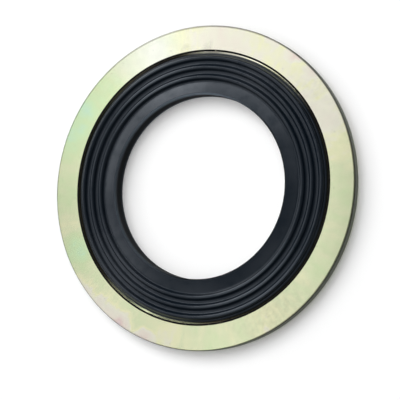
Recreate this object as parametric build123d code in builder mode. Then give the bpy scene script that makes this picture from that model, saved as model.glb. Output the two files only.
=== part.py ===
from build123d import *
import math
import os

os.makedirs("parts", exist_ok=True)

# Bonded sealing washer: a flat steel ring with a wide ring of moulded rubber bonded inside it.
# Each face of the rubber has three concentric sealing ridges and a conical lip round the bore,
# and all of them stand equally proud of the steel. The washer lies flat: +Z is its axis, the
# origin is the centre of the circle it rests on, and Z = 0 is the surface under it.
# Millimetres throughout.

# Steel ring
ring_thickness = 2.0
ring_width = 5.2  # from the bonded bore of the ring to its outer edge
ring_edge_round = 0.25  # edge rolled over by the blanking die, before plating
ring_chamfer_width = 0.29  # edge break beside the rubber, along the face
ring_chamfer_depth = 0.15
nip_groove_width = 0.37  # fine V that the shut-off edge of the mould bites into the steel
nip_groove_depth = 0.17

# Rubber seal
bore_radius = 17.0
proud_height = 0.58  # ridges and lip above each face of the steel
lip_width = 2.4  # from the wall of the bore to the foot of the lip
lip_crest_round = 0.3
lip_foot_round = 1.2
ridge_count = 3
ridge_pitch = 1.8
ridge_foot_width = 1.2
ridge_crown_width = 0.5
ridge_round = 0.39
rim_bevel_width = 0.18  # the rubber falls to the lower edge of the steel chamfer
rim_bevel_round = 0.08

# Radii from the bore outwards, and heights above the middle plane, that follow from these
lip_foot_radius = bore_radius + lip_width
bond_radius = lip_foot_radius + ridge_count * ridge_pitch
outer_radius = bond_radius + ring_width
nip_groove_radius = bond_radius + ring_chamfer_width + nip_groove_width / 2
face_height = ring_thickness / 2
bond_height = face_height - ring_chamfer_depth
crown_height = face_height + proud_height

# The cone of the lip touches the circle of its crest, whose top is as proud as the ridges. From
# the centre of that circle the foot lies at (run, drop), so this is the slope of the cone.
run, drop = lip_width - lip_crest_round, lip_crest_round - proud_height
cone_slope = math.asin(lip_crest_round / math.hypot(run, drop)) - math.atan2(drop, run)
cone_apex_height = face_height + lip_width * math.tan(cone_slope)  # where it would meet the bore

# Both sections are drawn with radius along X and the middle plane of the washer at Y = 0
section_plane = Plane(origin=(0, 0, crown_height), x_dir=(1, 0, 0), z_dir=(0, -1, 0))
straight_share = 0.1  # of each side of a corner that its rounding leaves straight


def ridge_corners(crown_radius):
    """Corners of one ridge: inner foot, inner and outer edge of the crown, outer foot."""
    half_foot, half_crown = ridge_foot_width / 2, ridge_crown_width / 2
    return [
        (crown_radius - half_foot, face_height),
        (crown_radius - half_crown, crown_height),
        (crown_radius + half_crown, crown_height),
        (crown_radius + half_foot, face_height),
    ]


def fitting_round(before, corner, after, wanted):
    """The wanted radius at a corner, or the largest that its two straight sides have room for."""
    back, ahead = Vector(before) - Vector(corner), Vector(after) - Vector(corner)
    half_turn = math.radians(180 - back.get_angle(ahead)) / 2
    room = (1 - straight_share) * min(back.length, ahead.length) / 2
    return min(wanted, room / math.tan(half_turn))


# Steel ring: blanked from sheet, outer edges rolled over, bore edges broken, and a nip groove
# in each face just outside the chamfer
with BuildPart() as steel_ring:
    with BuildSketch(section_plane) as ring_section:
        with Locations((bond_radius, 0)):
            Rectangle(ring_width, ring_thickness, align=(Align.MIN, Align.CENTER))
        fillet(ring_section.vertices().group_by(Axis.X)[-1], radius=ring_edge_round)
        bond_edge = ring_section.edges().sort_by(Axis.X)[0]
        chamfer(bond_edge.vertices(), ring_chamfer_depth, ring_chamfer_width, reference=bond_edge)
        for side in (1, -1):
            with BuildLine():
                Polyline(
                    (nip_groove_radius - nip_groove_width / 2, side * face_height),
                    (nip_groove_radius, side * (face_height - nip_groove_depth)),
                    (nip_groove_radius + nip_groove_width / 2, side * face_height),
                    close=True,
                )
            make_face(mode=Mode.SUBTRACT)
    revolve(axis=Axis.Z)

# Rubber seal: the upper half of its outline runs up the bore, over the crest of the lip, down
# the cone, over the ridges and down to the bond, and is mirrored about the middle plane
corners = [
    (bore_radius, 0),
    (bore_radius, cone_apex_height),
    (lip_foot_radius, face_height),
]
rounds = [lip_crest_round, lip_foot_round]
for ridge in range(ridge_count):
    corners += ridge_corners(lip_foot_radius + (ridge + 0.5) * ridge_pitch)
    rounds += [ridge_round] * 4
corners += [
    (bond_radius - rim_bevel_width, face_height),
    (bond_radius, bond_height),
    (bond_radius, 0),
]
rounds += [rim_bevel_round, 0]
corner_rounds = [
    fitting_round(before, corner, after, wanted)
    for before, corner, after, wanted in zip(corners, corners[1:], corners[2:], rounds)
]

with BuildPart() as rubber_seal:
    with BuildSketch(section_plane):
        with BuildLine():
            FilletPolyline(*corners, radius=corner_rounds)
            Line(corners[-1], corners[0])
        make_face()
        mirror(about=Plane.XZ)
    revolve(axis=Axis.Z)

steel_ring.part.label = "steel_ring"
export_step(steel_ring.part, "parts/steel_ring.step")

rubber_seal.part.label = "rubber_seal"
export_step(rubber_seal.part, "parts/rubber_seal.step")

print("outer diameter", round(2 * outer_radius, 3))
print("bore diameter", round(2 * bore_radius, 3))
print("overall thickness", round(2 * crown_height, 3))
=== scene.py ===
"""A bonded sealing washer that lies flat on a pale studio floor.

A zinc plated steel ring has a wide ring of black moulded rubber bonded inside it. Sizes in the
classes are millimetres, as on a maker's drawing, and the meshes are metres. The Z axis is the
washer's own axis, the origin is the centre of the circle it rests on, and Z = 0 is the floor.
"""

import logging
import math
from dataclasses import dataclass
from enum import Enum

import bpy
import numpy as np
from mathutils import Matrix, Vector


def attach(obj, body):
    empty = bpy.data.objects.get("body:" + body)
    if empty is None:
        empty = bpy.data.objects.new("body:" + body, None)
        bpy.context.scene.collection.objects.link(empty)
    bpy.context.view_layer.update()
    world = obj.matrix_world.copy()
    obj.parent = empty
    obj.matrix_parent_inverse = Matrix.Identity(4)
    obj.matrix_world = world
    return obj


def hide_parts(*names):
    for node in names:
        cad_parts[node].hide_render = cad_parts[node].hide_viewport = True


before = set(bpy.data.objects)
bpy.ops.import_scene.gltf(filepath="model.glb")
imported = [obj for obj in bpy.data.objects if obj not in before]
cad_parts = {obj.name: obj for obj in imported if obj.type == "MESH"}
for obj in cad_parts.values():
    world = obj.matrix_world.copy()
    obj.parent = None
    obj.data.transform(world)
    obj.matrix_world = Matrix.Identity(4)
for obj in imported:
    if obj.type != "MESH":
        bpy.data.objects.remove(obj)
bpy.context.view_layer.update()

MILLIMETRE = 0.001
log = logging.getLogger("washer")

Tree = bpy.types.NodeTree
Socket = bpy.types.NodeSocket
Colour = tuple[float, float, float, float]
# Where a change starts and ends, in millimetres, and, if not 0 and 1, from what to what it goes
Change = tuple[float, ...]


# ---------- Surfaces ----------


@dataclass(frozen=True)
class Section:
    """The closed outline of a turned piece, drawn as radius and height from its middle plane.

    Attributes:
        corners: Corner points, in order around the outline, shape (n, 2), in millimetres.
        rounds: Wanted radius at each corner, shape (n,), in millimetres.
        arc_points: Points along each rounded corner.
        seat: How far outside each arc a support point stands, so that flat sides shade flat.
        straight_share: Share of each side that its two roundings leave straight.
    """

    corners: np.ndarray
    rounds: np.ndarray
    arc_points: int = 7
    seat: float = 0.012
    straight_share: float = 0.1

    def points(self) -> np.ndarray:
        """Rounds every corner and returns the outline's points.

        With unit vectors a and b from a corner to its neighbours and a turn of t, the arc of
        radius r starts r tan(t / 2) along a and ends as far along b. Its centre lies on the
        sum of a and b, at r / cos(t / 2). The points between are the spherical blend
        (sin((1 - s) t) u + sin(s t) v) / sin(t) of the arc's end directions u and v.

        Returns:
            Points of shape (n * (arc_points + 2), 2), in millimetres.
        """
        back = np.roll(self.corners, 1, axis=0) - self.corners
        ahead = np.roll(self.corners, -1, axis=0) - self.corners
        back_length = np.linalg.norm(back, axis=1)
        ahead_length = np.linalg.norm(ahead, axis=1)
        a = back / back_length[:, None]
        b = ahead / ahead_length[:, None]
        turn = math.pi - np.arccos(np.clip(np.sum(a * b, axis=1), -1.0, 1.0))
        room = (1 - self.straight_share) * np.minimum(back_length, ahead_length) / 2
        radius = np.minimum(self.rounds, room / np.tan(turn / 2))
        reach = (radius * np.tan(turn / 2))[:, None]
        start, end = self.corners + a * reach, self.corners + b * reach
        toward = (a + b) / np.linalg.norm(a + b, axis=1)[:, None]
        centre = self.corners + toward * (radius / np.cos(turn / 2))[:, None]
        u = (start - centre) / radius[:, None]
        v = (end - centre) / radius[:, None]
        s = np.linspace(0.0, 1.0, self.arc_points)[None, :, None]
        t = turn[:, None, None]
        arc = (np.sin((1 - s) * t) * u[:, None] + np.sin(s * t) * v[:, None]) / np.sin(t)
        arc = centre[:, None] + arc * radius[:, None, None]
        before = (start + a * self.seat)[:, None]
        after = (end + b * self.seat)[:, None]
        return np.concatenate([before, arc, after], axis=1).reshape(-1, 2)


def mesh_object(name: str, points: np.ndarray, faces: list[list[int]]) -> bpy.types.Object:
    """Puts points and faces into a new mesh object that shades smooth.

    Args:
        name: Name of the object and its mesh.
        points: Points of shape (n, 3), in metres.
        faces: Numbers of each face's points, counterclockwise as seen from outside.

    Returns:
        The new object, linked into the scene, at the origin.
    """
    mesh = bpy.data.meshes.new(name)
    mesh.from_pydata(points, [], faces)
    mesh.polygons.foreach_set("use_smooth", np.ones(len(faces), dtype=bool))
    mesh.update()
    made = bpy.data.objects.new(name, mesh)
    bpy.context.scene.collection.objects.link(made)
    return made


def tube_faces(rows: int, columns: int, closed: bool) -> list[list[int]]:
    """Joins a grid of points into a tube.

    Point (i, j) has the number i * columns + j. Quad (i, j) joins (i, j), (i, j + 1),
    (i + 1, j + 1) and (i + 1, j), where the last column is followed by the first.

    Args:
        rows: Rows of the grid. Seen from outside, they follow each other to the left of the
            way in which the columns do.
        columns: Points in a row.
        closed: Whether the last row joins the first. If not, each end gets a flat cap.

    Returns:
        The faces.
    """
    row = np.arange(rows if closed else rows - 1)[:, None]
    column = np.arange(columns)[None, :]
    next_row, next_column = (row + 1) % rows, (column + 1) % columns
    near, far = row * columns, next_row * columns
    quads = [near + column, near + next_column, far + next_column, far + column]
    faces = np.stack(quads, axis=-1).reshape(-1, 4).tolist()
    if not closed:
        faces.append(list(range(columns))[::-1])
        faces.append(list(range((rows - 1) * columns, rows * columns)))
    return faces


def turned(
    name: str,
    section: Section,
    middle: float,
    start: float = 0.0,
    sweep: float = 360.0,
    steps: int = 320,
) -> bpy.types.Object:
    """Turns a section about the washer's axis.

    A point of the section at radius r and height h, turned by an angle q, lies at
    x = r cos(q), y = r sin(q), z = h + middle.

    Args:
        name: Name of the new object.
        section: The outline.
        middle: Height of the middle plane above the floor, in millimetres.
        start: First angle, in degrees.
        sweep: Angle swept, in degrees. A full turn closes on itself.
        steps: Angular steps in the sweep.

    Returns:
        The new object, with its place in its mesh.
    """
    closed = sweep >= 360.0
    angles = np.radians(start + np.linspace(0.0, sweep, steps, endpoint=not closed))[:, None]
    radius, height = section.points().T[:, None, :]
    places = [radius * np.cos(angles), radius * np.sin(angles), height + middle + 0.0 * angles]
    grid = np.stack(places, axis=-1) * MILLIMETRE
    return mesh_object(name, grid.reshape(-1, 3), tube_faces(*grid.shape[:2], closed))


# ---------- Finishes ----------


MATH = "ShaderNodeMath"
VECTORS = "ShaderNodeVectorMath"
RANGE = "ShaderNodeMapRange"
# A range with this setting changes by a smooth step, and stays as it is before and beyond it
SMOOTH = {"interpolation_type": "SMOOTHSTEP"}


def linear(colour: str) -> Colour:
    """Turns an sRGB hex colour into a linear one.

    Args:
        colour: The colour, such as "#a0b1c2".

    Returns:
        Its linear red, green and blue, and an alpha of 1.
    """
    coded = np.array([int(colour[k : k + 2], 16) for k in (1, 3, 5)]) / 255.0
    plain = np.where(coded <= 0.04045, coded / 12.92, ((coded + 0.055) / 1.055) ** 2.4)
    return (*plain.tolist(), 1.0)


def new_material(name: str) -> tuple[bpy.types.Material, Tree]:
    """Makes an empty node material.

    Args:
        name: Its name.

    Returns:
        The material and its node tree.
    """
    material = bpy.data.materials.new(name)
    material.use_nodes = True
    material.node_tree.nodes.clear()
    return material, material.node_tree


def add_node(
    tree: Tree,
    kind: str,
    inputs: tuple | dict = (),
    output: str | None = None,
    **settings: object,
) -> Socket | None:
    """Adds one node with its settings, values and links.

    Args:
        tree: The tree that gets the node.
        kind: The node's type name.
        inputs: Values to set and sockets to link, by the names of the inputs or in the order
            of those that the settings leave in use.
        output: Name of the wanted output, where it isn't the first in use.
        **settings: Properties of the node itself.

    Returns:
        The wanted output, or None from a node that has no outputs.
    """
    node = tree.nodes.new(kind)
    for name, value in settings.items():
        setattr(node, name, value)
    if isinstance(inputs, dict):
        pairs = [(node.inputs[name], value) for name, value in inputs.items()]
    else:
        pairs = list(zip([socket for socket in node.inputs if socket.enabled], inputs))
    for socket, value in pairs:
        if isinstance(value, Socket):
            tree.links.new(value, socket)
        else:
            socket.default_value = value
    if output is not None:
        return node.outputs[output]
    return next((socket for socket in node.outputs if socket.enabled), None)


def layered(tree: Tree, ground: Socket | Colour, *coats: tuple[Socket, Socket | Colour]) -> Socket:
    """Lays coats of colour over a ground.

    A coat of colour c that covers by a share s turns the colour g under it into
    (1 - s) g + s c.

    Args:
        tree: The tree that gets the nodes.
        ground: The lowest colour.
        *coats: Share and colour of each coat, upwards.

    Returns:
        The colour that shows.
    """
    for share, colour in coats:
        ground = add_node(tree, "ShaderNodeMix", (share, ground, colour), data_type="RGBA")
    return ground


@dataclass(frozen=True)
class Clouds:
    """A cloudy pattern, made of noise whose features have a real size.

    Attributes:
        size: Size of its features, in millimetres.
        swing: Its full range, of which it mostly uses the middle half.
        detail: Octaves of finer noise on top.
    """

    size: float
    swing: float
    detail: float = 2.0

    def at(self, tree: Tree, point: Socket) -> Socket:
        """Works out swing * (n - 0.5), where n is the noise, between 0 and 1.

        Args:
            tree: The tree that gets the nodes.
            point: Where to read the pattern, in millimetres.

        Returns:
            The value.
        """
        level = add_node(tree, "ShaderNodeTexNoise", (point, 1 / self.size, self.detail))
        centred = add_node(tree, MATH, (level, 0.5), operation="SUBTRACT")
        return add_node(tree, MATH, (centred, self.swing), operation="MULTIPLY")

    def strayed(self, tree: Tree, plan: Socket) -> Socket:
        """Moves a plan about by up to half the swing, so that round patches turn cloudy.

        The noise's red and green, less 0.5, are the shares of the swing along X and Y.

        Args:
            tree: The tree that gets the nodes.
            plan: The place on the plan, in millimetres.

        Returns:
            The place to read a patch at instead.
        """
        noise = (plan, 1 / self.size, self.detail)
        pair = add_node(tree, "ShaderNodeTexNoise", noise, "Color")
        centred = add_node(tree, VECTORS, (pair, (0.5, 0.5, 0.5)), operation="SUBTRACT")
        step = (centred, (self.swing, self.swing, 0.0), plan)
        return add_node(tree, VECTORS, step, operation="MULTIPLY_ADD")


@dataclass(frozen=True)
class Place:
    """Where a point of a surface lies on the washer, as sockets in millimetres.

    Attributes:
        point: The position.
        plan: The position, seen from above.
        radius: Distance from the axis.
        height: Height above the middle plane.
        around: Point that moves 1 mm for each millimetre round the ring at a radius of 27 mm,
            and 0.35 mm for each millimetre outwards, so that noise in it is drawn out radially.
    """

    point: Socket
    plan: Socket
    radius: Socket
    height: Socket
    around: Socket

    @classmethod
    def read(
        cls, tree: Tree, middle: float, ring: float = 27.0, outward: float = 0.35
    ) -> "Place":
        """Adds the nodes that work the place out.

        Args:
            tree: The tree that gets the nodes.
            middle: Height of the middle plane above the origin, in millimetres.
            ring: Radius at which the point around moves at full length, in millimetres.
            outward: How far it moves for each millimetre outwards.

        Returns:
            The sockets.
        """
        metres = add_node(tree, "ShaderNodeTexCoord", output="Object")
        point = add_node(tree, VECTORS, (metres, 1 / MILLIMETRE), operation="SCALE")
        plan = add_node(tree, VECTORS, (point, (1.0, 1.0, 0.0)), operation="MULTIPLY")
        radius = add_node(tree, VECTORS, (plan,), operation="LENGTH")
        level = add_node(tree, "ShaderNodeSeparateXYZ", (point,), "Z")
        height = add_node(tree, MATH, (level, middle), operation="SUBTRACT")
        outwards = add_node(tree, VECTORS, (plan,), operation="NORMALIZE")
        circle = add_node(tree, VECTORS, (outwards, ring), operation="SCALE")
        rise = add_node(tree, MATH, (radius, outward), operation="MULTIPLY")
        lift = add_node(tree, "ShaderNodeCombineXYZ", {"Z": rise})
        around = add_node(tree, VECTORS, (circle, lift), operation="ADD")
        return cls(point, plan, radius, height, around)


@dataclass(frozen=True)
class Bloom:
    """A round patch that adds to something on a surface: film or grime that lies thicker or
    thinner than round it, a bare place, or painted light or shade.

    Attributes:
        angle: Angle of its middle, in degrees from +X towards +Y.
        radius: Distance of its middle from the washer's axis, in millimetres.
        reach: Distance from its middle at which it ends, in millimetres.
        shift: What it adds at its middle.
    """

    angle: float
    radius: float
    reach: float
    shift: float

    @staticmethod
    def total(tree: Tree, plan: Socket, blooms: tuple["Bloom", ...]) -> Socket:
        """Adds up what blooms add, each falling smoothly from its shift to 0 at its reach.

        Args:
            tree: The tree that gets the nodes.
            plan: Where to read them, seen from above.
            blooms: The blooms.

        Returns:
            The sum.
        """
        total = 0.0
        for bloom in blooms:
            angle = math.radians(bloom.angle)
            middle = (bloom.radius * math.cos(angle), bloom.radius * math.sin(angle), 0.0)
            away = add_node(tree, VECTORS, (plan, middle), operation="DISTANCE")
            fall = (away, 0.0, bloom.reach, bloom.shift, 0.0)
            part = add_node(tree, RANGE, fall, **SMOOTH)
            total = add_node(tree, MATH, (total, part), operation="ADD")
        return total


@dataclass(frozen=True)
class PlatedSteel:
    """Bright zinc on cold rolled sheet, under a thin yellow chromate film.

    Light that the film's two surfaces send back interferes, so its thickness shows as a
    colour: mint, green, yellow, cream, pink and lavender, in this order as it gets thicker. It
    dries a little unevenly, which gives the eye slow clouds of these. The sheared rim holds
    little film and is a dull grey green, made darker still as painted shade, with a painted
    dark reflection towards its top and a painted dark line on the rounded edge above it.

    Attributes:
        orders: Colours of the film, from thin to thick.
        even: Place of the film in those colours where it dried evenly.
        blooms: Where it dried thicker or thinner.
        drift: How the outlines of these and of the bare and the soiled places stray.
        slow, ripple: Clouds in the thickness, large and small.
        streaks: Clouds in it that are drawn out radially.
        zinc: Colour of the zinc where the film is too thin to show.
        bare: Where that is.
        grime: Colour of what handling leaves.
        soil: Where that lies.
        soil_patches: How patchy it is.
        soil_cover: How far it covers on the whole.
        speck_spacing: From one speck of grime to the next, in millimetres.
        speck: How one fades from its middle, in shares of that spacing.
        speck_gaps: Radii over which fewer specks stay out, and their shares.
        roughness: Roughness of the faces.
        rim_duller: What the rim adds to it.
        smears: Clouds in it.
        grain: Grain of the sheet, as coarse as it needs to show.
        grain_height: Height of the grain where its pattern is 1, in metres.
        rim: Colour of the sheared rim: a dull grey green, partly its own and partly painted shade.
        rim_top_shade: Darker colour of it higher up: a painted dark reflection.
        rim_top_shading: Heights over which the rim gets that painted dark reflection.
        shear_lines: Lines that the shear drew down the rim.
        upright: Radii over which the face turns into the rim.
        rolled: Radii over which the rim's dark colour reaches onto the rounded edge above it: a
            painted dark line.
        rim_middle: Middle of these two circles, off the axis, so that the painted dark line is
            wider on one side.
        primer_and_shade: Colour of the bonding agent that stains the chamfer beside the rubber,
            and that paints its shade.
        primer_and_shade_cover: How far it covers.
        chamfer: Radii over which it ends, at the edge of the chamfer.
        highlight_sectors: Where the chamfer is free of it: two opposite sectors, where its
            highlight falls.
        sector_drift: How the outlines of those places stray.
    """

    orders: tuple[tuple[float, str], ...] = (
        (0.00, "#cfe9e4"),
        (0.10, "#cff0d4"),
        (0.22, "#d7efc2"),
        (0.34, "#dbeabd"),
        (0.44, "#e5ebc4"),
        (0.52, "#f0f0c8"),
        (0.60, "#efeddb"),
        (0.72, "#eee6d8"),
        (0.82, "#ead6ce"),
        (0.91, "#e4d6dd"),
        (1.00, "#dcd9e6"),
    )
    even: float = 0.42
    blooms: tuple[Bloom, ...] = (
        Bloom(66.0, 27.5, 15.0, 0.15),
        Bloom(88.0, 27.0, 12.0, 0.18),
        Bloom(29.0, 27.0, 15.0, 0.2),
        Bloom(43.0, 30.6, 2.6, 0.24),
        Bloom(51.0, 30.6, 2.4, 0.24),
        Bloom(61.0, 30.8, 2.6, 0.3),
        Bloom(54.0, 27.6, 5.0, 0.07),
        Bloom(137.0, 28.0, 8.0, -0.1),
        Bloom(148.0, 29.2, 6.0, -0.24),
        Bloom(160.0, 29.4, 6.0, -0.22),
        Bloom(181.0, 27.0, 8.0, -0.08),
        Bloom(194.0, 27.2, 4.0, 0.1),
        Bloom(205.0, 27.4, 5.5, -0.24),
        Bloom(218.0, 30.8, 4.2, 0.34),
        Bloom(229.0, 30.7, 5.0, 0.38),
        Bloom(239.0, 30.6, 4.8, 0.42),
        Bloom(249.0, 31.0, 3.2, 0.34),
        Bloom(259.0, 28.6, 7.0, 0.16),
        Bloom(300.0, 27.0, 9.0, 0.06),
        Bloom(297.0, 30.6, 2.8, 0.16),
        Bloom(308.0, 30.6, 2.2, 0.14),
        Bloom(322.0, 30.6, 2.6, 0.12),
    )
    drift: Clouds = Clouds(5.0, 6.0, 2.5)
    slow: Clouds = Clouds(6.0, 0.2)
    ripple: Clouds = Clouds(0.5, 0.05)
    streaks: tuple[Clouds, ...] = (Clouds(2.2, 0.2, 3.0), Clouds(0.7, 0.1))
    zinc: str = "#eef0e4"
    bare: tuple[Bloom, ...] = (
        Bloom(111.0, 27.4, 9.0, 1.0),
        Bloom(126.0, 29.0, 5.0, 0.4),
    )
    grime: str = "#4a4a3c"
    soil: tuple[Bloom, ...] = (
        Bloom(88.0, 25.8, 1.8, 0.24),
        Bloom(97.0, 25.8, 1.4, 0.18),
        Bloom(36.0, 27.2, 10.0, 0.11),
        Bloom(183.0, 27.2, 9.0, 0.08),
        Bloom(303.0, 27.4, 12.0, 0.24),
    )
    soil_patches: Clouds = Clouds(0.9, 1.0, 1.5)
    soil_cover: float = 0.6
    speck_spacing: float = 1.25
    speck: Change = (0.04, 0.12, 0.3, 0.0)
    speck_gaps: Change = (26.5, 25.7, 0.9, 0.45)
    roughness: float = 0.15
    rim_duller: float = 0.27
    smears: Clouds = Clouds(1.5, 0.06)
    grain: Clouds = Clouds(0.12, 0.6, 1.0)
    grain_height: float = 5e-8
    # Dull grey green of the sheared rim, partly its own colour and partly painted shade.
    rim: str = "#525949"
    # Painted dark reflection towards the top of the rim, over these heights.
    rim_top_shade: str = "#191b14"
    rim_top_shading: Change = (0.2, 0.8, 0.05, 0.9)
    shear_lines: Clouds = Clouds(0.35, 0.5, 3.0)
    upright: Change = (29.87, 29.96)
    # Painted dark line on the rounded edge above the rim, round an off-axis middle.
    rolled: Change = (29.68, 29.86, 0.0, 0.6)
    rim_middle: tuple[float, float, float] = (0.06, -0.104, 0.0)
    # The bonding agent's colour, also painted shade: darkens the chamfer all round but at its
    # highlight.
    primer_and_shade: str = "#30231b"
    primer_and_shade_cover: float = 0.93
    chamfer: Change = (25.08, 25.14, 1.0, 0.0)
    # Two opposite sectors where the chamfer's highlight falls, left bare.
    highlight_sectors: tuple[Bloom, ...] = (
        Bloom(55.0, 25.0, 11.0, 1.6),
        Bloom(78.0, 25.0, 10.0, 1.6),
        Bloom(240.0, 25.0, 9.0, 1.6),
        Bloom(258.0, 25.0, 7.0, 0.8),
    )
    sector_drift: Clouds = Clouds(1.5, 1.2, 2.5)

    def material(self, middle: float) -> bpy.types.Material:
        """Builds the finish.

        Args:
            middle: Height of the washer's middle plane, in millimetres.

        Returns:
            The material.
        """
        made, tree = new_material("iridescent_zinc_plate")
        place = Place.read(tree, middle)
        # The rim's colour reaches onto the rounded edge above it: a painted dark line.
        reach = add_node(tree, VECTORS, (place.plan, self.rim_middle), operation="DISTANCE")
        edge_shade = add_node(tree, RANGE, (reach, *self.rolled), **SMOOTH)
        upright = add_node(tree, RANGE, (place.radius, *self.upright), **SMOOTH)
        rim = add_node(tree, MATH, (edge_shade, upright), operation="MAXIMUM")
        duller = (rim, self.rim_duller, self.roughness)
        rough = add_node(tree, MATH, duller, operation="MULTIPLY_ADD")
        smears = self.smears.at(tree, place.point)
        grain = self.grain.at(tree, place.point)
        look = {
            "Base Color": layered(
                tree,
                self.film(tree, place),
                (rim, self.sheared(tree, place)),
                # The bonding agent's colour and painted shade on the chamfer.
                (self.stain_and_shade(tree, place), linear(self.primer_and_shade)),
            ),
            "Metallic": 1.0,
            "Roughness": add_node(tree, MATH, (rough, smears), operation="ADD"),
            "Normal": add_node(
                tree, "ShaderNodeBump", {"Distance": self.grain_height, "Height": grain}
            ),
        }
        shader = add_node(tree, "ShaderNodeBsdfPrincipled", look)
        add_node(tree, "ShaderNodeOutputMaterial", (shader,))
        return made

    def film(self, tree: Tree, place: Place) -> Socket:
        """Colours the film: thickness = even + blooms + clouds, then its order's colour.

        Args:
            tree: The tree that gets the nodes.
            place: Where a point lies.

        Returns:
            The colour of the faces, with the bare zinc and the grime.
        """
        plan = self.drift.strayed(tree, place.plan)
        thickness = Bloom.total(tree, plan, self.blooms)
        for part in (
            self.even,
            self.slow.at(tree, place.plan),
            *(streak.at(tree, place.around) for streak in self.streaks),
            self.ripple.at(tree, place.plan),
        ):
            thickness = add_node(tree, MATH, (thickness, part), operation="ADD")
        colour = add_node(tree, "ShaderNodeValToRGB", (thickness,))
        stops = colour.node.color_ramp.elements
        for stop, (position, shade) in zip(stops, (self.orders[0], self.orders[-1])):
            stop.position, stop.color = position, linear(shade)
        for position, shade in self.orders[1:-1]:
            stops.new(position).color = linear(shade)
        bare = Bloom.total(tree, plan, self.bare)
        soil = Bloom.total(tree, plan, self.soil)
        patches = (self.soil_patches.at(tree, place.point), self.soil_cover)
        patchy = add_node(tree, MATH, patches, operation="ADD")
        soil = add_node(tree, MATH, (soil, patchy), operation="MULTIPLY")
        specks = self.specks(tree, place)
        soil = add_node(tree, MATH, (soil, specks), operation="MAXIMUM")
        return layered(tree, colour, (bare, linear(self.zinc)), (soil, linear(self.grime)))

    def stain_and_shade(self, tree: Tree, place: Place) -> Socket:
        """Says how far the bonding agent's dark coat, also painted shade, covers the chamfer: all
        but the two sectors where its highlight falls.

        Args:
            tree: The tree that gets the nodes.
            place: Where a point lies.

        Returns:
            The share that it covers.
        """
        plan = self.sector_drift.strayed(tree, place.plan)
        highlight_sectors = Bloom.total(tree, plan, self.highlight_sectors)
        cover = add_node(tree, MATH, (self.primer_and_shade_cover, highlight_sectors), operation="SUBTRACT")
        cover = add_node(tree, MATH, (cover, 0.0), operation="MAXIMUM")
        chamfer = add_node(tree, RANGE, (place.radius, *self.chamfer), **SMOOTH)
        return add_node(tree, MATH, (cover, chamfer), operation="MULTIPLY")

    def specks(self, tree: Tree, place: Place) -> Socket:
        """Scatters specks 0.2 mm wide over some cells of a pattern, and more at the groove.

        Args:
            tree: The tree that gets the nodes.
            place: Where a point lies.

        Returns:
            The share that grime covers there.
        """
        pattern = (place.plan, 1.0 / self.speck_spacing)
        away = add_node(tree, "ShaderNodeTexVoronoi", pattern)
        chance = add_node(tree, "ShaderNodeSeparateColor", (away.node.outputs["Color"],))
        dot = add_node(tree, RANGE, (away, *self.speck), **SMOOTH)
        crowd = add_node(tree, RANGE, (place.radius, *self.speck_gaps), **SMOOTH)
        kept = add_node(tree, MATH, (chance, crowd), operation="GREATER_THAN")
        return add_node(tree, MATH, (dot, kept), operation="MULTIPLY")

    def sheared(self, tree: Tree, place: Place) -> Socket:
        """Colours the rim: darker higher up, a painted dark reflection, with lines that the shear
        drew down it.

        Args:
            tree: The tree that gets the nodes.
            place: Where a point lies.

        Returns:
            The colour.
        """
        lines = self.shear_lines.at(tree, place.around)
        # Painted dark reflection: darker towards the top of the rim.
        rim_top_shading = add_node(tree, RANGE, (place.height, *self.rim_top_shading), **SMOOTH)
        share = add_node(tree, MATH, (lines, rim_top_shading), operation="ADD")
        return layered(tree, linear(self.rim), (share, linear(self.rim_top_shade)))


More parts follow.
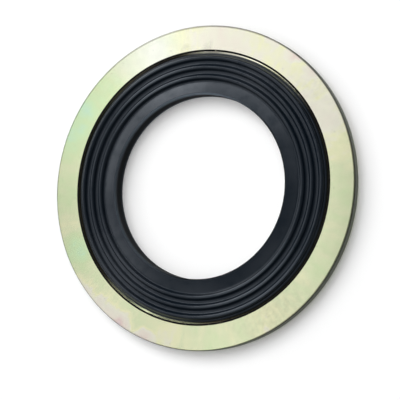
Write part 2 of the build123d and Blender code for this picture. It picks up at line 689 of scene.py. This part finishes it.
@dataclass(frozen=True)
class MouldedRubber:
    """Black nitrile rubber from a polished mould: blue black, with a soft sheen.

    The eye gets faint rings that the mould's lathe left, a patchy bloom in the sheen, a dull
    wall where the bore was trimmed, painted shade on that wall, and painted light: a highlight
    on the crest, lighter ridges and highlights on their crowns.

    Attributes:
        black: Colour of the moulded faces.
        painted_wall_shade: Colour of the wall of the bore, which is trimmed: darker than the
            moulded faces, as painted shade.
        wall: Radii over which the crest of the lip passes into it.
        painted_crest_highlight: Lighter grey on the crest of the lip: a painted highlight.
        crest_highlight_patches: Where that is.
        crest: Heights over which the wall passes into the crest.
        painted_ridge_light: Lighter colour of the ridges and their valleys: painted light that
            lifts their shade.
        ridge_light_patches: Where that is.
        ridges: Radii over which the lip passes into the ridges.
        painted_crown_highlight: Lighter colour of the crowns of the ridges: a painted highlight.
        crown_highlight_patches: Where that is.
        crown: Heights over which a ridge passes into its crown.
        roughness: Roughness of the moulded faces.
        trimmed: Roughness of the wall of the bore.
        smears: Clouds in the roughness.
        ior: Index of refraction of the rubber.
        sheen: Tint of what the moulded faces mirror.
        bloomed: Tint of it where waxes have come out of the rubber.
        blooms: How patchy those are.
        matt: Tint of what the wall of the bore mirrors.
        fade: Radii over which what the lip mirrors gets duller towards the bore, and how much.
        rings: Rings of the mould's lathe, as coarse as they need to show.
        waves: Unevenness of the moulded faces.
        relief_height: Height of both where their pattern is 1, in metres.
    """

    black: str = "#07111a"
    # Painted shade: the wall of the bore is coloured darker than the moulded faces.
    painted_wall_shade: str = "#030405"
    wall: Change = (17.42, 17.1)
    # Painted highlight: a lighter grey on the crest, over part of the ring.
    painted_crest_highlight: str = "#717c87"
    crest_highlight_patches: tuple[Bloom, ...] = (
        Bloom(76.0, 17.2, 13.0, 0.5),
        Bloom(112.0, 17.2, 16.0, 0.6),
        Bloom(145.0, 17.2, 12.0, 0.25),
        Bloom(182.0, 17.2, 12.0, 0.28),
        Bloom(222.0, 17.2, 13.0, 0.28),
    )
    crest: Change = (0.5, 1.5)
    # Painted light: lifts the ridges and their valleys on two opposite sides.
    painted_ridge_light: str = "#2a2e34"
    ridge_light_patches: tuple[Bloom, ...] = (
        Bloom(222.0, 22.0, 13.0, 0.7),
        Bloom(62.0, 22.0, 12.0, 0.3),
    )
    ridges: Change = (19.0, 19.8)
    # Painted highlight on the crowns, on two opposite sides.
    painted_crown_highlight: str = "#40464c"
    crown_highlight_patches: tuple[Bloom, ...] = (
        Bloom(118.0, 21.0, 12.0, 0.75),
        Bloom(300.0, 22.4, 16.0, 0.72),
    )
    crown: Change = (1.5, 1.57)
    roughness: float = 0.24
    trimmed: float = 0.85
    smears: Clouds = Clouds(1.6, 0.09, 3.0)
    ior: float = 1.5
    sheen: str = "#eaf2fd"
    bloomed: str = "#9fabb6"
    blooms: Clouds = Clouds(1.8, 2.4, 3.0)
    matt: str = "#68737f"
    fade: Change = (19.2, 17.3, 0.0, 0.3)
    rings: Clouds = Clouds(0.16, 0.8, 1.0)
    waves: Clouds = Clouds(0.8, 8.0)
    relief_height: float = 1e-6

    def material(self, middle: float) -> bpy.types.Material:
        """Builds the finish.

        Args:
            middle: Height of the washer's middle plane, in millimetres.

        Returns:
            The material.
        """
        made, tree = new_material("moulded_nitrile")
        place = Place.read(tree, middle)
        wall = add_node(tree, RANGE, (place.radius, *self.wall), **SMOOTH)
        duller = (wall, self.trimmed - self.roughness, self.roughness)
        rough = add_node(tree, MATH, duller, operation="MULTIPLY_ADD")
        smears = self.smears.at(tree, place.around)
        profile = add_node(tree, "ShaderNodeCombineXYZ", (place.radius, place.height))
        relief = (self.rings.at(tree, profile), self.waves.at(tree, place.point))
        relief = add_node(tree, MATH, relief, operation="ADD")
        look = {
            "Base Color": self.colour(tree, place, wall),
            "Roughness": add_node(tree, MATH, (rough, smears), operation="ADD"),
            "IOR": self.ior,
            "Specular Tint": self.tint(tree, place, wall),
            "Normal": add_node(
                tree, "ShaderNodeBump", {"Distance": self.relief_height, "Height": relief}
            ),
        }
        shader = add_node(tree, "ShaderNodeBsdfPrincipled", look)
        add_node(tree, "ShaderNodeOutputMaterial", (shader,))
        return made

    def colour(self, tree: Tree, place: Place, wall: Socket) -> Socket:
        """Colours the rubber: black, with painted shade on the wall, and painted light on the
        crest, the ridges and the crowns.

        Each painted light covers by the product of its form and its blooms.

        Args:
            tree: The tree that gets the nodes.
            place: Where a point lies.
            wall: How far it belongs to the wall of the bore or to the crest beside it.

        Returns:
            The colour.
        """
        side = add_node(tree, MATH, (place.height,), operation="ABSOLUTE")
        above = add_node(tree, RANGE, (side, *self.crest), **SMOOTH)
        crest = add_node(tree, MATH, (wall, above), operation="MULTIPLY")
        ridges = add_node(tree, RANGE, (place.radius, *self.ridges), **SMOOTH)
        top = add_node(tree, RANGE, (side, *self.crown), **SMOOTH)
        crown = add_node(tree, MATH, (top, ridges), operation="MULTIPLY")
        # Painted shade on the wall of the bore.
        coats = [(wall, linear(self.painted_wall_shade))]
        # Painted highlight on the crest, painted light on the ridges, painted highlight on the
        # crowns.
        for form, blooms, colour in (
            (crest, self.crest_highlight_patches, self.painted_crest_highlight),
            (ridges, self.ridge_light_patches, self.painted_ridge_light),
            (crown, self.crown_highlight_patches, self.painted_crown_highlight),
        ):
            patches = Bloom.total(tree, place.plan, blooms)
            share = add_node(tree, MATH, (form, patches), operation="MULTIPLY")
            coats.append((share, linear(colour)))
        return layered(tree, linear(self.black), *coats)

    def tint(self, tree: Tree, place: Place, wall: Socket) -> Socket:
        """Tints what the rubber mirrors: cloudy, weaker towards the crest, dull on the wall.

        Args:
            tree: The tree that gets the nodes.
            place: Where a point lies.
            wall: How far it belongs to the wall of the bore or to the crest beside it.

        Returns:
            The tint.
        """
        fade = add_node(tree, RANGE, (place.radius, *self.fade), **SMOOTH)
        dull = add_node(tree, MATH, (wall, fade), operation="MAXIMUM")
        blooms = (self.blooms.at(tree, place.point), 0.0)
        cloud = add_node(tree, MATH, blooms, operation="MAXIMUM")
        return layered(
            tree, linear(self.sheen), (cloud, linear(self.bloomed)), (dull, linear(self.matt))
        )


@dataclass(frozen=True)
class FlashRubber:
    """The same rubber where it is torn off thin: no sheen is left, only black.

    Attributes:
        black: Its colour.
        roughness: Its roughness.
        gloss: Its specular level, of which 0.5 is usual.
    """

    black: str = "#0c0c0b"
    roughness: float = 0.85
    gloss: float = 0.1

    def material(self) -> bpy.types.Material:
        """Builds the finish.

        Returns:
            The material.
        """
        made, tree = new_material("trimmed_flash")
        look = {
            "Base Color": linear(self.black),
            "Roughness": self.roughness,
            "Specular IOR Level": self.gloss,
        }
        shader = add_node(tree, "ShaderNodeBsdfPrincipled", look)
        add_node(tree, "ShaderNodeOutputMaterial", (shader,))
        return made


# ---------- The washer ----------


def mirrored(half: np.ndarray) -> np.ndarray:
    """Adds to a half outline its mirror image below the middle plane, in reverse order."""
    return np.concatenate([half, half[::-1] * (1, -1)])


def dress(
    piece: bpy.types.Object, finish: bpy.types.Material, node: str | None = None
) -> bpy.types.Object:
    """Gives a piece its finish, lets it ride on the washer, and hides the solid that it stands
    for.

    Args:
        piece: The piece.
        finish: Its material.
        node: The solid that it stands for, if any.

    Returns:
        The piece.
    """
    piece.data.materials.append(finish)
    if node is not None:
        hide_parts(node)
    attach(piece, "root")
    return piece


@dataclass(frozen=True)
class SteelRing:
    """The blanked steel ring, with its nip grooves and the chamfers beside the rubber.

    Attributes:
        bond_radius: Radius of the bore that the rubber is bonded to.
        width: From that bore to the outer edge.
        thickness: Thickness of the sheet.
        edge_round: Outer edge, rolled over by the die.
        chamfer_width, chamfer_depth: Edge break beside the rubber.
        groove_width: Width of the nip groove at the face.
        groove_depth: Depth of the nip groove.
        burr: Rounding of every other edge.
    """

    bond_radius: float
    width: float = 5.2
    thickness: float = 2.0
    edge_round: float = 0.25
    chamfer_width: float = 0.29
    chamfer_depth: float = 0.15
    groove_width: float = 0.37
    groove_depth: float = 0.17
    burr: float = 0.01

    @property
    def face(self) -> float:
        """Height of the upper face above the middle plane."""
        return self.thickness / 2

    @property
    def bond_height(self) -> float:
        """Height of the lower edge of the chamfer above the middle plane."""
        return self.face - self.chamfer_depth

    @property
    def groove_radius(self) -> float:
        """Radius of the middle of the nip groove."""
        return self.bond_radius + self.chamfer_width + self.groove_width / 2

    def section(self) -> Section:
        """Draws the section, outwards over the upper face and back along the lower one.

        Returns:
            The closed section.
        """
        half_groove = self.groove_width / 2
        half = np.array(
            [
                (self.bond_radius, self.bond_height),
                (self.groove_radius - half_groove, self.face),
                (self.groove_radius, self.face - self.groove_depth),
                (self.groove_radius + half_groove, self.face),
                (self.bond_radius + self.width, self.face),
            ]
        )
        rounds = np.array([self.burr] * 4 + [self.edge_round])
        return Section(mirrored(half), np.concatenate([rounds, rounds[::-1]]))

    def build(self, middle: float) -> bpy.types.Object:
        """Turns and dresses the ring, with its middle plane at a height above the floor."""
        ring = turned("steel_ring_plated", self.section(), middle)
        return dress(ring, PlatedSteel().material(middle), "steel_ring")


@dataclass(frozen=True)
class RubberSeal:
    """The moulded seal: a lip round the bore and three ridges on each face.

    Attributes:
        bore_radius: Radius of the bore.
        lip_width: From the wall of the bore to the foot of the lip.
        ridge_count: Ridges on each face.
        ridge_pitch: From the middle of one ridge to the next.
        foot_width: Width of a ridge at the valley floor.
        crown_width: Width of a ridge at its top.
        proud: Height of the ridges and the lip above the face of the steel.
        bevel_width: Width of the fall to the lower edge of the steel chamfer.
        crest_round, foot_round, ridge_round, bevel_round, bond_round: Roundings.
    """

    bore_radius: float = 17.0
    lip_width: float = 2.4
    ridge_count: int = 3
    ridge_pitch: float = 1.8
    foot_width: float = 1.2
    crown_width: float = 0.5
    proud: float = 0.58
    bevel_width: float = 0.18
    crest_round: float = 0.3
    foot_round: float = 1.2
    ridge_round: float = 0.39
    bevel_round: float = 0.08
    bond_round: float = 0.02

    @property
    def lip_foot(self) -> float:
        """Radius of the foot of the lip."""
        return self.bore_radius + self.lip_width

    @property
    def bond_radius(self) -> float:
        """Radius at which the rubber meets the steel."""
        return self.lip_foot + self.ridge_count * self.ridge_pitch

    @property
    def lip_peak(self) -> float:
        """Height above the steel face at which the cone of the lip would meet the bore.

        The cone starts at the foot and touches the crest's circle, whose top is as proud as the
        ridges. With the foot at (x, y) from the centre of that circle, its slope is
        asin(radius / length of (x, y)) - atan2(y, x).

        Returns:
            The height.
        """
        x, y = self.lip_width - self.crest_round, self.crest_round - self.proud
        slope = math.asin(self.crest_round / math.hypot(x, y)) - math.atan2(y, x)
        return self.lip_width * math.tan(slope)

    def section(self, steel: SteelRing) -> Section:
        """Draws the section, the upper half outwards from the bore and the lower half back.

        Args:
            steel: The ring that it is bonded into.

        Returns:
            The closed section.
        """
        face, crown = steel.face, steel.face + self.proud
        middles = self.lip_foot + (np.arange(self.ridge_count) + 0.5) * self.ridge_pitch
        foot, top = self.foot_width / 2, self.crown_width / 2
        radii = middles[:, None] + np.array([-foot, -top, top, foot])
        heights = np.tile([face, crown, crown, face], self.ridge_count)
        ridges = np.stack([radii.ravel(), heights], axis=1)
        lip = [(self.bore_radius, face + self.lip_peak), (self.lip_foot, face)]
        rim = [(self.bond_radius - self.bevel_width, face), (self.bond_radius, steel.bond_height)]
        half = np.concatenate([lip, ridges, rim])
        ridge_rounds = [self.ridge_round] * len(ridges)
        rounds = [self.crest_round, self.foot_round, *ridge_rounds]
        rounds += [self.bevel_round, self.bond_round]
        return Section(mirrored(half), np.array(rounds + rounds[::-1]))

    def build(self, middle: float, steel: SteelRing) -> bpy.types.Object:
        """Turns and dresses the seal, which is bonded into the steel, at the same height."""
        seal = turned("rubber_seal_moulded", self.section(steel), middle)
        return dress(seal, MouldedRubber().material(middle), "rubber_seal")


class Side(Enum):
    """The washer's two faces, as the sign of their height from the middle plane."""

    UPPER = 1
    LOWER = -1


@dataclass(frozen=True)
class GrooveFlash:
    """The film of rubber that is squeezed into a nip groove and trimmed level with the face.

    Attributes:
        half_width: Half the width of the film at the face.
        depth: How deep it reaches below the face.
        sink: How far its top lies below the face.
        edge_round: Rounding of its three edges.
        edge_points: Points along each of these.
        seat: How far outside each of them its support points stand.
        nick: Angle at which a nick crosses it, in degrees.
        nick_sweep: Angle that the nick takes, in degrees.
    """

    half_width: float = 0.18
    depth: float = 0.155
    sink: float = 0.004
    edge_round: float = 0.008
    edge_points: int = 4
    seat: float = 0.004
    nick: float = 83.7
    nick_sweep: float = 0.5

    def section(self, steel: SteelRing, side: Side) -> Section:
        """Draws the three-cornered section of one of the two films.

        The lower one is the upper one's mirror image, in reverse order.

        Args:
            steel: The ring whose groove it fills.
            side: The face that the groove is in.

        Returns:
            The closed section.
        """
        middle, top = steel.groove_radius, steel.face - self.sink
        corners = np.array(
            [
                (middle - self.half_width, top),
                (middle + self.half_width, top),
                (middle, steel.face - self.depth),
            ]
        )
        corners = corners[:: side.value] * (1, side.value)
        return Section(corners, np.full(3, self.edge_round), self.edge_points, self.seat)

    def build(self, middle: float, steel: SteelRing) -> list[bpy.types.Object]:
        """Turns and dresses the film on each face, all but its nick.

        Args:
            middle: Height of the washer's middle plane.
            steel: The ring whose grooves it fills.

        Returns:
            The two films.
        """
        start, sweep = self.nick + self.nick_sweep / 2, 360.0 - self.nick_sweep
        finish = FlashRubber().material()
        films = []
        for side in Side:
            name = f"groove_flash_{side.name.lower()}"
            film = turned(name, self.section(steel, side), middle, start, sweep)
            films.append(dress(film, finish))
        return films


@dataclass(frozen=True)
class Washer:
    """The whole washer, in its two pieces and the film of flash in each nip groove.

    Attributes:
        rubber: The seal, whose bond gives the steel ring its bore.
        flash: The film of flash.
    """

    rubber: RubberSeal = RubberSeal()
    flash: GrooveFlash = GrooveFlash()

    def build(self) -> list[bpy.types.Object]:
        """Builds and dresses the pieces, as high as the lower ridges lift them off the floor.

        Returns:
            The pieces.
        """
        steel = SteelRing(self.rubber.bond_radius)
        middle = steel.face + self.rubber.proud
        pieces = [steel.build(middle), self.rubber.build(middle, steel)]
        return pieces + self.flash.build(middle, steel)


# ---------- The studio ----------


def direction(azimuth: float, elevation: float) -> Vector:
    """Unit vector at an azimuth from +X towards +Y and an elevation above the floor, degrees."""
    a, e = math.radians(azimuth), math.radians(elevation)
    return Vector((math.cos(e) * math.cos(a), math.cos(e) * math.sin(a), math.sin(e)))


@dataclass(frozen=True)
class Viewpoint:
    """A long lens that looks down at the washer, a little from its right.

    Attributes:
        aim: Point of the upper steel face that it looks at, in millimetres.
        azimuth: Direction from the aim to the camera, in degrees from +X towards +Y.
        tilt: Angle between that direction and the washer's axis, in degrees.
        distance: From the aim to the camera, in millimetres.
        roll: Turn of the camera about its own line of sight, in degrees.
        lens: Focal length on a sensor 36 mm wide, in millimetres.
        nearest, farthest: Between which distances it sees, in metres.
    """

    aim: tuple[float, float, float] = (0.31, -2.50, 2.58)
    azimuth: float = -13.862
    tilt: float = 25.339
    distance: float = 265.24
    roll: float = 1.289
    lens: float = 130.5
    nearest: float = 0.01
    farthest: float = 20.0

    def place(self) -> None:
        """Makes the camera and gives it to the scene.

        Its own axes are columns of its turn: right is level, back points away from the aim, and
        up is back x right. The roll then turns it about back.
        """
        back = direction(self.azimuth, 90.0 - self.tilt)
        right = Vector((0.0, 1.0, 0.0)).cross(back).normalized()
        level = Matrix((right, back.cross(right), back)).transposed()
        turn = Matrix.Rotation(math.radians(self.roll), 3, "Z")
        lens = bpy.data.cameras.new("long_lens")
        lens.lens = self.lens
        lens.clip_start, lens.clip_end = self.nearest, self.farthest
        camera = bpy.data.objects.new("camera", lens)
        place = (Vector(self.aim) + back * self.distance) * MILLIMETRE
        camera.matrix_world = Matrix.Translation(place) @ (level @ turn).to_4x4()
        bpy.context.scene.collection.objects.link(camera)
        bpy.context.scene.camera = camera


@dataclass(frozen=True)
class SoftBox:
    """A rectangular soft box that faces the washer.

    Attributes:
        name: Name of its lamp.
        azimuth, elevation: Where it hangs, in degrees.
        width, height: Size, as the angles that the washer sees it under, in degrees.
        radiance: Brightness of its cloth. At 1 its mirror image is white.
        mirrored: Whether gloss shows it. If not, it only lights, as a bounced lamp does.
    """

    name: str
    azimuth: float
    elevation: float
    width: float
    height: float
    radiance: float
    mirrored: bool = True

    def hang(self, distance: float) -> None:
        """Hangs the box on a sphere round the washer.

        A flat lamp of area A and power P has a radiance of P / (pi A).

        Args:
            distance: Radius of that sphere, in metres.
        """
        lamp = bpy.data.lights.new(self.name, "AREA")
        lamp.shape = "RECTANGLE"
        lamp.size = 2 * distance * math.tan(math.radians(self.width / 2))
        lamp.size_y = 2 * distance * math.tan(math.radians(self.height / 2))
        lamp.energy = self.radiance * math.pi * lamp.size * lamp.size_y
        box = bpy.data.objects.new(self.name, lamp)
        outwards = direction(self.azimuth, self.elevation)
        turn = outwards.to_track_quat("Z", "Y").to_matrix().to_4x4()
        box.matrix_world = Matrix.Translation(outwards * distance) @ turn
        box.visible_camera = False
        box.visible_glossy = self.mirrored
        bpy.context.scene.collection.objects.link(box)


@dataclass(frozen=True)
class Studio:
    """White paper in a dim room, with soft boxes round the left, the back and overhead.

    Black rubber and bright plate show what stands round them. Each box is a highlight on the
    ridges, and the dark between the boxes keeps their valleys and their far sides black.

    Attributes:
        floor_half: Half the side of the floor, in metres.
        floor_white: Share of light that the paper scatters.
        floor_lift: What the paper adds where it is seen, so that it is white outside shadows.
        air: Radiance of the room.
        distance: From the washer to the boxes, in metres.
        boxes: The soft boxes, each named for where it hangs or what it lights.
    """

    floor_half: float = 6.0
    floor_white: float = 0.88
    floor_lift: float = 0.1
    air: float = 0.08
    distance: float = 1.2
    boxes: tuple[SoftBox, ...] = (
        SoftBox("key", 131.0, 24.7, 17.0, 37.5, 2.6),
        SoftBox("key_head", 131.0, 42.0, 20.0, 14.0, 2.48),
        SoftBox("key_side", 158.0, 27.6, 29.0, 37.0, 1.46),
        SoftBox("left_strip", 180.0, 36.0, 70.0, 12.0, 0.9),
        SoftBox("left_bank", 202.0, 31.6, 39.0, 32.0, 0.61),
        SoftBox("left_head", 200.0, 50.0, 30.0, 14.0, 0.21),
        SoftBox("back_spot", 106.8, 47.2, 12.0, 12.0, 2.18),
        SoftBox("back_head", 100.0, 60.0, 24.0, 13.0, 2.05),
        SoftBox("back_top", 80.0, 72.0, 20.0, 12.0, 0.72),
        SoftBox("overhead", 173.0, 66.7, 80.0, 12.0, 0.67),
        SoftBox("over_left", 168.0, 58.0, 26.0, 8.0, 0.57),
        SoftBox("over_back", 150.0, 62.0, 20.0, 10.0, 0.25),
        SoftBox("over_right", 160.0, 71.0, 26.0, 8.0, 0.24),
        SoftBox("zenith", 341.0, 80.6, 46.0, 12.0, 0.44),
        SoftBox("over_front", 249.0, 67.0, 38.0, 24.0, 0.34),
        SoftBox("right_fill", 20.0, 24.0, 110.0, 30.0, 0.14),
        SoftBox("front_fill", 290.0, 28.0, 100.0, 34.0, 0.22),
        SoftBox("bounce", 97.0, 66.0, 60.0, 60.0, 1.88, mirrored=False),
    )

    def build(self) -> None:
        """Builds the floor, the lamps and the air."""
        bpy.context.scene.view_settings.view_transform = "Standard"
        self.floor()
        for box in self.boxes:
            box.hang(self.distance)
            log.info("soft box %s", box.name)
        self.world()

    def floor(self) -> None:
        """Lays the paper, a square at a height of 0.

        It scatters light, and what looks at it sees it lifted to white.
        """
        corners = np.array([(-1, -1, 0), (1, -1, 0), (1, 1, 0), (-1, 1, 0)]) * self.floor_half
        floor = mesh_object("floor", corners, [[0, 1, 2, 3]])
        made, tree = new_material("white_paper")
        paper = add_node(tree, "ShaderNodeBsdfDiffuse", ((*[self.floor_white] * 3, 1.0),))
        seen = 0.0
        for ray in ("Is Camera Ray", "Is Glossy Ray", "Is Transmission Ray"):
            looks = add_node(tree, "ShaderNodeLightPath", output=ray)
            seen = add_node(tree, MATH, (seen, looks), operation="MAXIMUM")
        strength = add_node(tree, MATH, (seen, self.floor_lift), operation="MULTIPLY")
        lift = add_node(tree, "ShaderNodeEmission", {"Strength": strength})
        both = add_node(tree, "ShaderNodeAddShader", (paper, lift))
        add_node(tree, "ShaderNodeOutputMaterial", (both,))
        floor.data.materials.append(made)

    def world(self) -> None:
        """Fills the room with plain grey air."""
        world = bpy.data.worlds.new("room_air")
        bpy.context.scene.world = world
        world.use_nodes = True
        tree = world.node_tree
        tree.nodes.clear()
        white = (1.0, 1.0, 1.0, 1.0)
        air = add_node(tree, "ShaderNodeBackground", {"Color": white, "Strength": self.air})
        add_node(tree, "ShaderNodeOutputWorld", (air,))


def main() -> None:
    """Builds the camera, the washer and the studio, in that order, and reports each piece."""
    logging.basicConfig(level=logging.INFO, format="%(name)s: %(message)s")
    Viewpoint().place()
    for piece in Washer().build():
        log.info("%s: %d faces", piece.name, len(piece.data.polygons))
    Studio().build()


if __name__ == "__main__":
    main()
